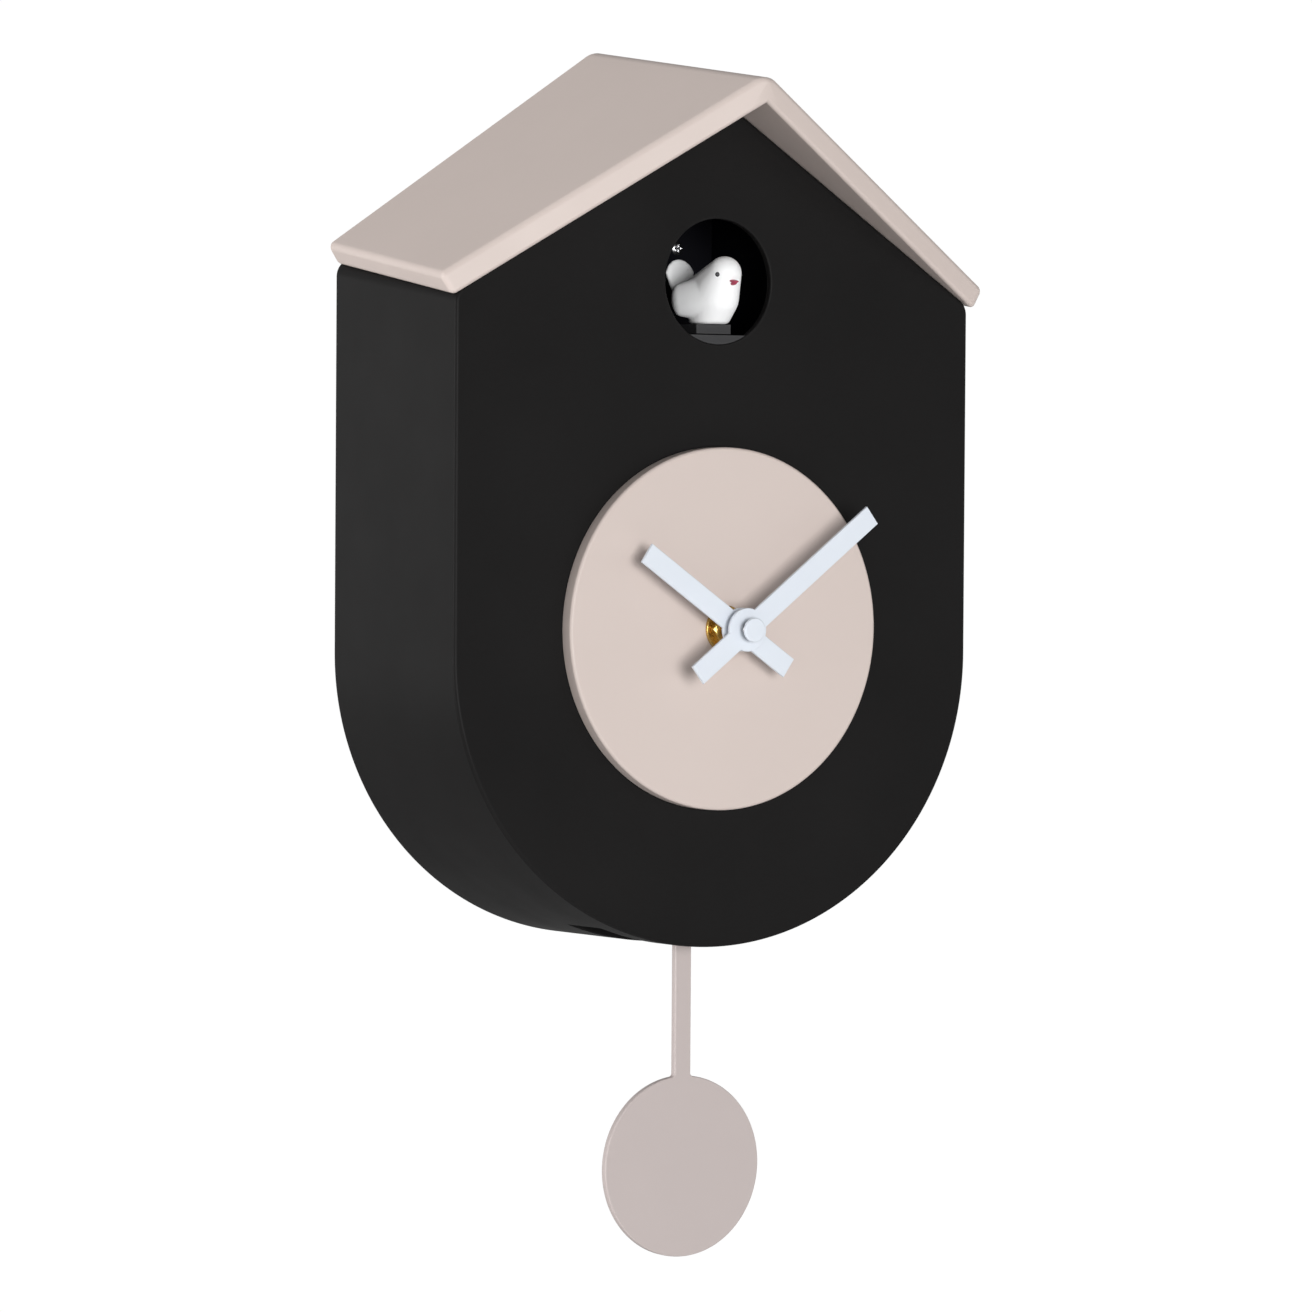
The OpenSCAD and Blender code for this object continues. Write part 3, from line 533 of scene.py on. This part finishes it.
def roof_loop(inset, depth_at):
    """The whole section as a loop of points; depth_at gives each point's depth from its sideways place."""
    y_eave = depth_at(ROOF_BACK_HALF)
    share = (CASE_D - y_eave) / (CASE_D + EAVE_REACH)
    half = roof_half(inset, ROOF_BACK_HALF + (ROOF_FRONT_HALF - ROOF_BACK_HALF) * share)
    flat = [(p.x, p.y) for p in half] + [(-p.x, p.y) for p in reversed(half[1:-1])]
    return [(x, depth_at(abs(x)), APEX_Z + ROOF_GAP + z + FALL * depth_at(abs(x))) for x, z in flat]


def roof_cap(base, m):
    """Quads across one end of the roof, each from a point of the top to its partner underneath."""
    right = [base + j for j in range(m)]
    left = [base] + [base + 2 * m - 2 - j for j in range(1, m - 1)] + [base + m - 1]
    return [(side[i], side[i + 1], side[m - 2 - i], side[m - 1 - i])
            for side in (right, left) for i in range(m // 2 - 1)]


def prow(x):
    """Depth of the roof's swept front edge."""
    return -RIDGE_REACH + (RIDGE_REACH - EAVE_REACH) * min(x / ROOF_FRONT_HALF, 1)


def make_roof():
    """Folded slab with a bullnosed, swept front edge and a softly rounded back edge."""
    loops = []
    for inset, ahead in rounding(NOSE_ROUND, (84, 70, 56, 42, 28, 14, 0)):
        loops.append(roof_loop(inset, lambda x, a=ahead: prow(x) + a))
    for share in (0.15, 0.4, 0.7):
        loops.append(roof_loop(0, lambda x, s=share: (prow(x) + NOSE_ROUND) * (1 - s)
                               + (CASE_D - BACK_ROUND) * s))
    for inset, behind in rounding(BACK_ROUND, (0, 22, 45, 67, 86)):
        loops.append(roof_loop(inset, lambda x, b=behind: CASE_D - b))
    verts, faces = skin(loops, capped=False)
    n = len(loops[0])
    for base in (0, len(verts) - n):
        faces += roof_cap(base, n // 2 + 1)
    piece("roof_slab", verts, faces, "case", "roof")


make_roof()

# ---- dial and hands ----


def make_dial():
    """Plain disc with a softly rounded rim."""
    soft = 1.1
    chamfer = 0.3
    profile = [(BUSH_HOLE_R, 0), (BUSH_HOLE_R, DIAL_FRONT), (DIAL_R * 0.5, DIAL_FRONT)]
    profile += arc(DIAL_R - soft, DIAL_FRONT + soft, soft, -90, 0, 6)
    profile += [(DIAL_R, -chamfer), (DIAL_R - chamfer, 0)]
    piece("dial_plate", *turned(profile, 0, DIAL_Z, 192), "case", "dial_disc")


def hand_outline(length, tail, half, hub, inset):
    """A bar hand's outline about its arbor, pointing up: (sideways, along) points, anticlockwise."""
    w = half - inset
    r = hub - inset
    lean = math.degrees(math.asin(w / r))
    right = arc(0, 0, r, -90 + lean, 90 - lean, 16)
    left = [(-x, z) for x, z in reversed(right)]
    reach = r * math.cos(math.radians(lean))
    up = [reach + (length - inset - reach) * k / 4 for k in range(1, 5)]
    down = [-reach - (tail - inset - reach) * k / 3 for k in range(1, 4)]
    outline = right + [(w, z) for z in up] + [(0, length - inset)] + [(-w, z) for z in reversed(up)]
    return outline + left + [(-w, z) for z in down] + [(0, inset - tail)] + [(w, z) for z in reversed(down)]


def make_hand(name, node, body, length, tail, turn, hole):
    """Flat bar with a round hub, fine rounded edges and a hole for its arbor."""
    front = span(node)[0].y
    back = front + HAND_T
    soft = 0.25
    fine = soft * 0.3
    c = math.cos(turn)
    s = math.sin(turn)

    def loop(inset, y):
        return [(x * c + z * s, y, DIAL_Z - x * s + z * c)
                for x, z in hand_outline(length, tail, HAND_W / 2, HAND_W, inset)]

    def bore(y):
        ring = []
        for x, z in hand_outline(length, tail, HAND_W / 2, HAND_W, 0):
            far = math.hypot(x, z)
            ring.append((hole * (x * c + z * s) / far, y, DIAL_Z + hole * (z * c - x * s) / far))
        return ring

    loops = [bore(front), loop(soft, front), loop(fine, front + fine), loop(0, front + soft)]
    loops += [loop(0, back - soft), loop(fine, back - fine), loop(soft, back), bore(back)]
    piece(name, *wrapped(loops), body, node)


def make_cap_nut():
    """Thin white nut with a rounded edge; its grey threaded shank shows behind it."""
    low, high = span("cap_nut")
    thick = 1.3
    stand_out = 0.9
    r = (high.x - low.x) / 2 - 0.1
    front = low.y - stand_out
    back = front + thick
    soft = 0.45
    chamfer = 0.2
    profile = [(AXIS_R, front)] + arc(r - soft, front + soft, soft, -90, 0, 5)
    profile += [(r, back - chamfer), (r - chamfer, back), (AXIS_R, back)]
    piece("cap_nut_round", *turned(profile, 0, DIAL_Z, 72), "minute", "cap_nut")
    pitch = 0.28
    crest = 3.0
    root = 2.7
    thread = [(AXIS_R, back)]
    for k in range(8):
        thread += [(crest, back + k * pitch), (root, back + (k + 0.5) * pitch)]
    thread.append((AXIS_R, high.y))
    shank = piece("cap_nut_shank", *turned(thread, 0, DIAL_Z, 48), "minute", "cap_nut")
    shank.data.materials[0] = FINISH["steel"]


def make_hex_nut():
    """Hexagon nut with the curved chamfer that turning leaves."""
    low, high = span("hex_nut")
    flat = (high.z - low.z) / 2
    rim = flat * 0.96
    bore = 4.02
    mouth = 4.5
    lead = 0.4
    angles = circle(96)
    lean = math.tan(math.radians(30))
    radius = [flat / math.cos(a % (math.pi / 3) - math.pi / 6) for a in angles]
    front = [low.y + (r - rim) * lean for r in radius]
    back = [high.y - (r - rim) * lean for r in radius]

    def loop(rs, ys):
        return [(r * math.cos(a), y, DIAL_Z + r * math.sin(a)) for r, a, y in zip(rs, angles, ys)]

    def level(r, y):
        return loop([r] * len(angles), [y] * len(angles))

    loops = [level(bore, low.y + lead), level(mouth, low.y), level(rim, low.y), loop(radius, front)]
    loops += [loop(radius, back), level(rim, high.y), level(bore, high.y)]
    piece("hex_nut_turned", *wrapped(loops), "case", "hex_nut", 25)


def make_bush():
    """Brass tube; the end that stands out of the nut carries a real helical thread."""
    low, high = span("threaded_bush")
    pitch = 0.75
    bore = 2.56
    nose = 3.3
    root = 3.62
    crest = 3.98
    lead = 0.2
    start = low.y + lead
    end = low.y + 3.2
    rows = 24
    angles = circle(48)

    def ring(radii, y):
        return [(r * math.cos(a), y, DIAL_Z + r * math.sin(a)) for r, a in zip(radii, angles)]

    def level(r, y):
        return ring([r] * len(angles), y)

    def thread(y):
        phases = [(y / pitch - a / (2 * math.pi)) % 1 for a in angles]
        return ring([root + (crest - root) * (1 - abs(2 * phase - 1)) for phase in phases], y)

    loops = [level(bore, low.y), level(nose, low.y)]
    loops += [thread(start + (end - start) * k / rows) for k in range(rows + 1)]
    loops += [level(crest, end + lead), level(crest, high.y), level(bore, high.y)]
    piece("threaded_bush_turned", *wrapped(loops), "case", "threaded_bush", 50)


def make_washer():
    """Pressed washer with a rolled outer edge."""
    low, high = span("dial_washer")
    r = (high.x - low.x) / 2
    roll = 0.4
    burr = 0.05
    profile = [(BUSH_HOLE_R, high.y), (BUSH_HOLE_R, low.y), (r - roll, low.y)]
    profile += [(r - roll * 0.3, low.y + roll * 0.3), (r, low.y + roll), (r, high.y - burr)]
    piece("dial_washer_pressed", *turned(profile, 0, DIAL_Z), "case", "dial_washer")


MINUTE_TURN = math.radians(TIME_MINUTES * 6)
HOUR_TURN = math.radians(TIME_HOURS * 30 + TIME_MINUTES / 2)
make_dial()
make_hand("minute_hand_bar", "minute_hand", "minute", length=64, tail=25, turn=MINUTE_TURN, hole=1.52)
make_hand("hour_hand_bar", "hour_hand", "hour", length=46, tail=23.5, turn=HOUR_TURN, hole=2.52)
make_cap_nut()
make_hex_nut()
make_bush()
make_washer()

# ---- pendulum ----


def make_pendulum():
    """Rod and disc in one flat moulding with fine rounded edges and a small fillet where they meet."""
    low, high = span("pendulum_blade")
    disc_r = (high.x - low.x) / 2
    disc_z = low.z + disc_r
    rod_half = 3.25
    fillet = 1.2
    soft = 0.45

    def outline(inset):
        w = rod_half - inset
        r = disc_r - inset
        top = high.z - inset
        join = math.asin((w + fillet) / (r + fillet))
        fillet_x = w + fillet
        fillet_z = disc_z + (r + fillet) * math.cos(join)
        curve = arc(fillet_x, fillet_z, fillet, -90 - math.degrees(join), -180, 6)
        disc = arc(0, disc_z, r, -90, 90 - math.degrees(join), 90)
        right = disc[1:] + curve[1:]
        right += [(w, fillet_z + (top - fillet_z) * k / 5) for k in range(1, 6)]
        return right + [(0, top)] + [(-x, z) for x, z in reversed(right)] + [(0, disc_z - r)]

    def loop(inset, y):
        return [(x, y, z) for x, z in outline(inset)]

    loops = [loop(inset, low.y + depth) for inset, depth in rounding(soft, (90, 60, 30, 0))]
    loops += [loop(inset, high.y - depth) for inset, depth in rounding(soft, (0, 30, 60, 90))]
    piece("pendulum_flat", *skin(loops), "pendulum", "pendulum_blade")


make_pendulum()

# ---- bird ----

HEAD = (0, -3.7, 130.2)


def hull(*parts):
    """The tightest convex skin about several parts."""
    bm = bmesh.new()
    for v in merge(*parts)[0]:
        bm.verts.new(v)
    result = bmesh.ops.convex_hull(bm, input=bm.verts)
    spare = result["geom_interior"] + result["geom_unused"]
    inside = {v for v in spare if isinstance(v, bmesh.types.BMVert)}
    bmesh.ops.delete(bm, geom=list(inside), context="VERTS")
    bm.verts.index_update()
    verts = [tuple(v.co) for v in bm.verts]
    faces = [tuple(v.index for v in f.verts) for f in bm.faces]
    bm.free()
    return verts, faces


def tail_fan():
    """Smooth upright fan that leans back a little, narrow at the rump and round at the top."""
    root_y = 22.6
    bend_z = 123
    middle_z = 129.6
    half_wide = 4.0
    half_tall = 4.3
    lean = 0.24
    fan = [lump((0, root_y, bend_z - 1), (3.2, 1.1, 2.0))]
    for k in range(-3, 4):
        a = math.radians(24 * k)
        z = middle_z + half_tall * math.cos(a)
        fan.append(lump((half_wide * math.sin(a), root_y + (z - bend_z) * lean, z), (1.9, 1.0, 1.9)))
    return hull(*fan)


def make_bird():
    """Plump bird facing the window: head, breast, back, folded wings and tail fan in one moulding."""
    head = lump(HEAD, (5.8, 5.8, 5.8))
    breast = lump((0, 4.0, 122), (8.2, 11.2, 8.6))
    back = lump((0, 10.0, 121.8), (8.2, 9.0, 8.0))
    foot = lump((0, 5.9, 114), (6.4, 8.2, 1.5))
    rump = lump((0, 22.5, 122), (3.2, 2.6, 3.0))
    wings = [lump((side * 9.0, 10.6, 121.2), (2.3, 3.8, 5.6), lean=12) for side in (-1, 1)]
    parts = [hull(head, breast), hull(head, back), hull(breast, foot), hull(back, rump), tail_fan()]
    parts += [hull(breast, wing) for wing in wings]
    bird = piece("bird_form", *merge(*parts), "bird", "bird_body")
    melt(bird, grain=0.35, passes=8)
    perch = box_part((-20, 20), (-20, 45), (PERCH_Z - 10, PERCH_Z + 0.1))
    combine(bird, cutter(*perch))
    dress(bird, "bird_white", 60)


def make_beak():
    """Small pointed red beak of two halves that just meet."""
    upper = lump((0, -9.6, 127.35), (1.45, 1.9, 0.5), lean=-8)
    lower = lump((0, -9.4, 126.6), (0.9, 1.6, 0.6), lean=10)
    piece("beak_halves", *merge(upper, lower), "bird", "bird_beak", 60)


def make_eyes():
    """A low dark ring on each side of the head about a grey bead, which is a painted highlight on the eye.
    """
    glint_bead = turned([(AXIS_R, -0.42), (0.25, -0.38), (0.45, -0.2), (0.45, 0.6), (AXIS_R, 0.6)], 0, 0, 24)
    rim = [(0.42, 0.5), (0.42, -0.12), (0.55, -0.3), (0.75, -0.24), (0.86, 0.0), (0.86, 0.6)]
    ring = turned(rim, 0, 0, 32)
    eyes = [(side * 4.75, -6.6, 129.6) for side in (-1, 1)]
    rings = [placed(ring, eye, Vector(eye) - Vector(HEAD)) for eye in eyes]
    glint_beads = [placed(glint_bead, eye, Vector(eye) - Vector(HEAD)) for eye in eyes]
    piece("eye_rings", *merge(*rings), "bird", "bird_eyes", 50)
    # the grey beads in the middle of the eyes are a painted highlight
    glint_piece = piece("eye_painted_glints", *merge(*glint_beads), "bird", "bird_eyes", 50)
    glint_piece.data.materials[0] = FINISH["magnet"]


make_bird()
make_beak()
make_eyes()

# ---- screws ----


def screw_part(head_r, head_h, length, dome):
    """A cross-head screw about the origin: its head stands head_h towards -Y, its threads run to +Y."""
    pitch = 0.8
    crest = SCREW_R - 0.05
    root = SCREW_R - 0.4
    profile = [(AXIS_R, -head_h), (head_r * 0.45, -head_h + dome * 0.15)]
    profile += [(head_r * 0.8, -head_h + dome * 0.55), (head_r, -head_h + dome)]
    profile += [(head_r, 0), (crest, 0), (crest, pitch)]
    for k in range(int((length - 2) / pitch)):
        profile += [(crest, 1.0 + k * pitch), (root, 1.0 + (k + 0.5) * pitch)]
    profile += [(crest, length - pitch), (AXIS_R, length)]
    screw = cutter(*turned(profile, 0, 0, 40))
    arm = head_r * 0.58
    slot_half = 0.38
    slot_depth = 0.75
    for wide, tall in ((arm, slot_half), (slot_half, arm)):
        slot = box_part((-wide, wide), (-head_h - 1, -head_h + slot_depth), (-tall, tall))
        combine(screw, cutter(*slot))
    verts = [v.co / MM - Vector((0, FRONT_Y, ARCH_Z)) for v in screw.data.vertices]
    faces = [tuple(p.vertices) for p in screw.data.polygons]
    bpy.data.objects.remove(screw)
    return verts, faces


def make_screws(name, node, screw, places, facing):
    """A set of equal screws that look the same way."""
    parts = [placed(screw, place, facing) for place in places]
    piece(name, *merge(*parts), "case", node, 30)


def make_cover_screws(screw):
    """Four in the back cover, over the case's posts."""
    seat = 74.5
    make_screws("cover_screw_set", "case_screws", screw, [(x, seat, z) for x, z in COVER_POSTS], (0, 1, 0))


def make_roof_screws(screw):
    """Four that hold the roof from inside the gable."""
    drop = 8.3
    places = []
    for x, y in ((-60, 22), (60, 22), (-60, 60), (60, 60)):
        places.append((x, y, APEX_Z - abs(x) * GABLE + y * FALL - drop))
    make_screws("roof_screw_set", "case_screws", screw, places, (0, 0, -1))


def make_hanger_screws():
    """Two flat ones beside the keyhole at the back."""
    screw = screw_part(SCREW_HEAD_R, head_h=0.8, length=6, dome=0.1)
    seat = CASE_D - 0.9
    keyhole_z = 160
    places = [(x, seat, keyhole_z) for x in (-17, 17)]
    make_screws("hanger_screw_set", "hanger_screws", screw, places, (0, 1, 0))


def make_chamber_screws():
    """Two in the back wall of the bird's chamber."""
    screw = screw_part(head_r=2.3, head_h=1.3, length=6, dome=0.8)
    wall_y = 48.5
    places = [(x, wall_y, 140.5) for x in (-14, 14)]
    make_screws("chamber_screw_set", "chamber_screws", screw, places, (0, -1, 0))


case_screw = screw_part(SCREW_HEAD_R, head_h=1.6, length=12, dome=0.9)
make_cover_screws(case_screw)
make_roof_screws(case_screw)
make_hanger_screws()
make_chamber_screws()

# ---- flat faces shade flat beside their rounded edges, and CAD nodes take their finishes ----

for obj in MADE:
    even = obj.modifiers.new("even shading", "WEIGHTED_NORMAL")
    even.keep_sharp = True

for name, obj in NODES.items():
    for slot in obj.material_slots:
        slot.material = FINISH[SLOT_OF[name]]

# ---- floor, light and camera, placed in metres ----


def make_floor():
    """Pale floor well below the clock, which hangs on a wall."""
    radius = 4.0
    drop = 1.8
    bm = bmesh.new()
    bmesh.ops.create_circle(bm, cap_ends=True, segments=96, radius=radius)
    mesh = bpy.data.meshes.new("studio_floor")
    bm.to_mesh(mesh)
    bm.free()
    floor = bpy.data.objects.new("studio_floor", mesh)
    floor.location = (0, 0, -drop)
    bpy.context.scene.collection.objects.link(floor)
    mesh.materials.append(shader("floor_pale", (0.72, 0.72, 0.72), 0.8, mottle=0.01))


def make_world():
    """Studio surround: a white horizon all round, pale behind the clock and dim in front of it."""
    white = 1.01
    pale = 0.4
    dim = 0.08
    world = bpy.data.worlds.new("studio")
    bpy.context.scene.world = world
    world.use_nodes = True
    tree = world.node_tree
    way = tree.nodes.new("ShaderNodeSeparateXYZ")
    tree.links.new(tree.nodes.new("ShaderNodeTexCoord").outputs["Generated"], way.inputs[0])
    height = math_node(tree, "ABSOLUTE", way.outputs["Z"])
    horizon = remap(tree, height, white, dim, start=0.135, end=0.16)
    behind = remap(tree, way.outputs["Y"], dim, pale, start=0.0, end=0.5)
    background = tree.nodes["Background"]
    tree.links.new(math_node(tree, "MAXIMUM", horizon, behind), background.inputs["Strength"])
    background.inputs["Color"].default_value = (1, 1, 1, 1)


def make_light(name, place, size, watts, aim):
    """A round soft light that looks at a point."""
    lamp = bpy.data.lights.new(name, "AREA")
    lamp.shape = "DISK"
    lamp.size = size
    lamp.energy = watts
    obj = bpy.data.objects.new(name, lamp)
    obj.location = place
    obj.rotation_euler = (aim - Vector(place)).to_track_quat("-Z", "Y").to_euler()
    bpy.context.scene.collection.objects.link(obj)


def make_camera():
    """Long lens from the left, almost level, a little above the dial."""
    yaw = math.radians(32.543)
    pitch = math.radians(1.501)
    roll = math.radians(-0.377)
    distance = 2.0891
    target = spot(-24.3, 0, 0.15)
    forward = Vector((math.sin(yaw) * math.cos(pitch), math.cos(yaw) * math.cos(pitch), -math.sin(pitch)))
    level = Vector((math.cos(yaw), -math.sin(yaw), 0))
    below = forward.cross(level)
    right = level * math.cos(roll) + below * math.sin(roll)
    down = below * math.cos(roll) - level * math.sin(roll)
    lens = bpy.data.cameras.new("camera")
    lens.sensor_width = 36
    lens.lens = 169.17
    lens.clip_start = 0.05
    camera = bpy.data.objects.new("camera", lens)
    turn = Matrix((right, -down, -forward)).transposed()
    camera.matrix_world = Matrix.Translation(target - forward * distance) @ turn.to_4x4()
    bpy.context.scene.collection.objects.link(camera)
    bpy.context.scene.camera = camera


make_floor()
make_world()
make_light("key", (-0.66, -2.93, -0.15), size=1.3, watts=66, aim=spot(0, 0, 10))
make_light("left", (-2.8, 0.5, 0.1), size=1.4, watts=50, aim=spot(0, 30, 60))
make_light("top", (-0.4, 0.3, 1.8), size=1.0, watts=3.8, aim=spot(0, 30, 160))
make_camera()
bpy.context.scene.view_settings.view_transform = "Standard"
